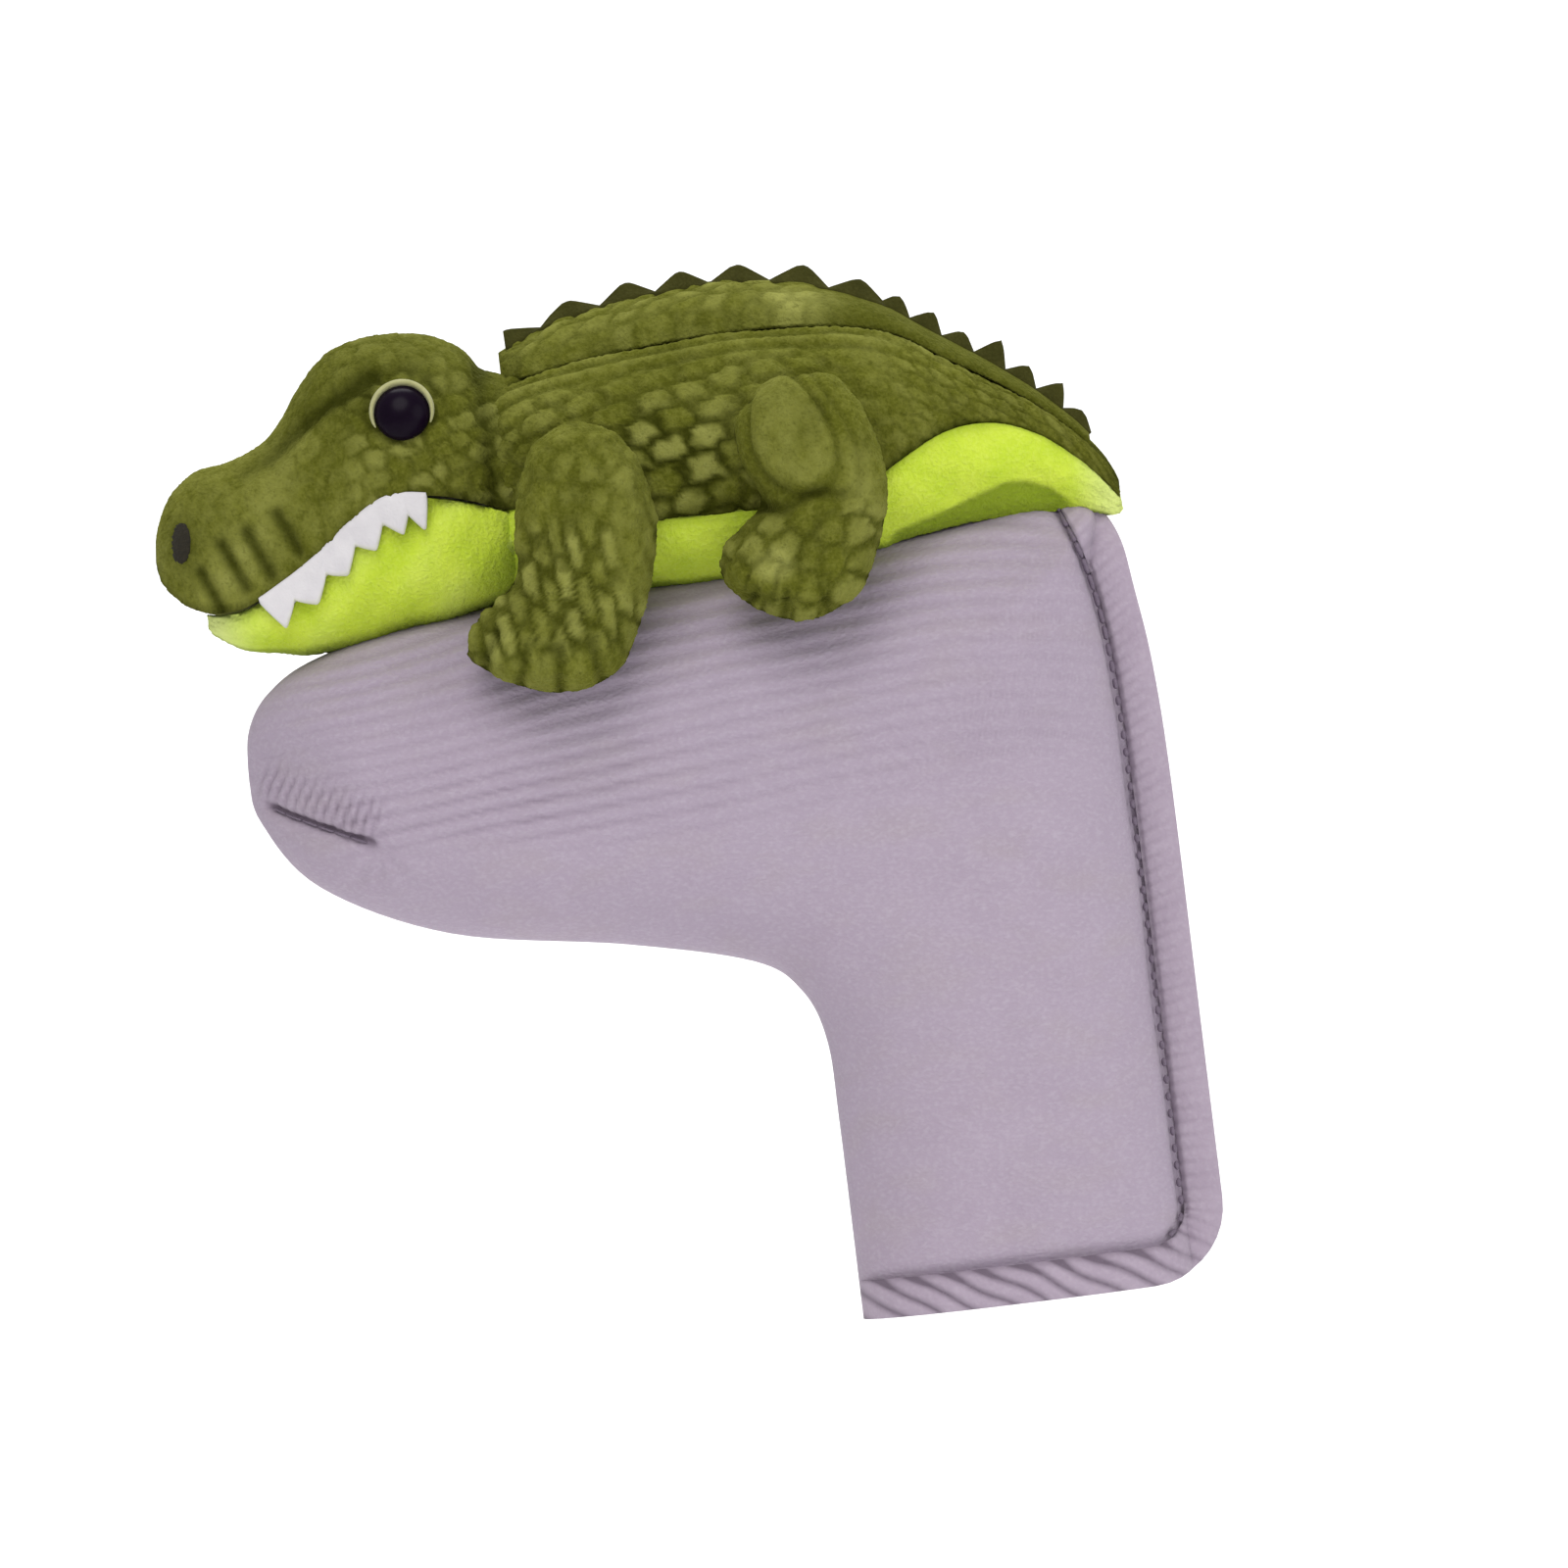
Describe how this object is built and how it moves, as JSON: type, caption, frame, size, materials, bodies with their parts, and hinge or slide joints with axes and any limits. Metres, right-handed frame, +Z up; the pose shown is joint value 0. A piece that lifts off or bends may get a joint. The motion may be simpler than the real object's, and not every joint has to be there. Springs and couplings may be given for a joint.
{
  "type": "putter head cover",
  "caption": "Padded L-shaped knit sleeve for a blade putter's head and neck, closed along its back edge, with a stuffed plush alligator sewn along its top.",
  "frame": {"origin": "middle of the mouth that the putter's shaft comes out of, at the leg's open end", "axes": "+Z up along the shaft's leg towards the alligator, -X towards the putter's toe and the alligator's snout, -Y the near side"},
  "size_m": [0.1644, 0.0674, 0.1787],
  "materials": {
    "lilac_knit": "fine ribbed knit",
    "hem_knit": "turned knit hem",
    "foam": "open-cell foam wadding",
    "lining": "brushed lining",
    "thread": "dark lilac sewing thread",
    "hook_tape": "hook and loop tape",
    "olive_plush": "embossed short-pile plush",
    "lime_plush": "short-pile plush",
    "spike_felt": "dark felt",
    "tooth_felt": "white felt",
    "eye_plastic": "polished black",
    "eye_ring_felt": "cream felt",
    "nostril_felt": "dark felt",
    "fibrefill": "polyester fibre filling",
    "washer_plastic": "moulded lock washer"
  },
  "bodies": {
    "sleeve": {"outer_shell_near": "lilac_knit", "outer_shell_far": "lilac_knit", "foam_pad_near": "foam", "foam_pad_far": "foam", "lining_near": "lining", "lining_far": "lining", "mouth_hem_near": "hem_knit", "mouth_hem_far": "hem_knit", "toe_dart_thread_near": "thread", "toe_dart_thread_far": "thread", "torso_skin": "olive_plush", "belly_panel": "lime_plush", "torso_stuffing": "fibrefill", "ridge_strip": "olive_plush", "back_spikes": "spike_felt"},
    "lip_near": {"lip_shell_near": "lilac_knit", "lip_foam_near": "foam", "lip_lining_near": "lining", "lip_hem_near": "hem_knit", "hem_thread_near": "thread", "hook_strip": "hook_tape"},
    "lip_far": {"lip_shell_far": "lilac_knit", "lip_foam_far": "foam", "lip_lining_far": "lining", "lip_hem_far": "hem_knit", "hem_thread_far": "thread", "loop_strip": "hook_tape"},
    "head": {"head_skin": "olive_plush", "palate_panel": "olive_plush", "head_stuffing": "fibrefill", "lower_jaw": "lime_plush", "teeth_near": "tooth_felt", "teeth_far": "tooth_felt", "eye_near": "eye_plastic", "eye_far": "eye_plastic", "eye_ring_near": "eye_ring_felt", "eye_ring_far": "eye_ring_felt", "eye_washer_near": "washer_plastic", "eye_washer_far": "washer_plastic", "nostril_near": "nostril_felt", "nostril_far": "nostril_felt"},
    "tail": {"tail_skin": "olive_plush", "tail_belly": "lime_plush", "tail_stuffing": "fibrefill", "tail_ridge": "olive_plush", "tail_spikes": "spike_felt"},
    "front_leg_near": {"front_leg_near": "olive_plush"},
    "front_leg_far": {"front_leg_far": "olive_plush"},
    "rear_leg_near": {"rear_leg_near": "olive_plush"},
    "rear_leg_far": {"rear_leg_far": "olive_plush"}
  },
  "joints": [
    {"name": "lip_near_fold", "type": "hinge", "parent": "sleeve", "child": "lip_near", "pos_m": [-0.01, -0.02, 0], "axis": [-0.1545, 0, -0.988], "range_deg": [0, 30], "stiffness_Nm_per_rad": 0.05},
    {"name": "lip_far_fold", "type": "hinge", "parent": "sleeve", "child": "lip_far", "pos_m": [-0.01, 0.02, 0], "axis": [0.1545, 0, 0.988], "range_deg": [0, 30], "stiffness_Nm_per_rad": 0.05},
    {"name": "head_nod", "type": "hinge", "parent": "sleeve", "child": "head", "pos_m": [-0.073, 0, 0.1647], "axis": [0, 1, 0], "range_deg": [0, 15]},
    {"name": "tail_lift", "type": "hinge", "parent": "sleeve", "child": "tail", "pos_m": [-0.008, 0, 0.1704], "axis": [0, -1, 0], "range_deg": [0, 15]},
    {"name": "front_leg_near_swing", "type": "hinge", "parent": "sleeve", "child": "front_leg_near", "pos_m": [-0.06436, -0.0227, 0.153], "axis": [-1, 0, 0], "range_deg": [0, 60]},
    {"name": "front_leg_far_swing", "type": "hinge", "parent": "sleeve", "child": "front_leg_far", "pos_m": [-0.06436, 0.0227, 0.153], "axis": [1, 0, 0], "range_deg": [0, 60]},
    {"name": "rear_leg_near_swing", "type": "hinge", "parent": "sleeve", "child": "rear_leg_near", "pos_m": [-0.02365, -0.0227, 0.1564], "axis": [-1, 0, 0], "range_deg": [0, 60]},
    {"name": "rear_leg_far_swing", "type": "hinge", "parent": "sleeve", "child": "rear_leg_far", "pos_m": [-0.02365, 0.0227, 0.1564], "axis": [1, 0, 0], "range_deg": [0, 60]}
  ]
}
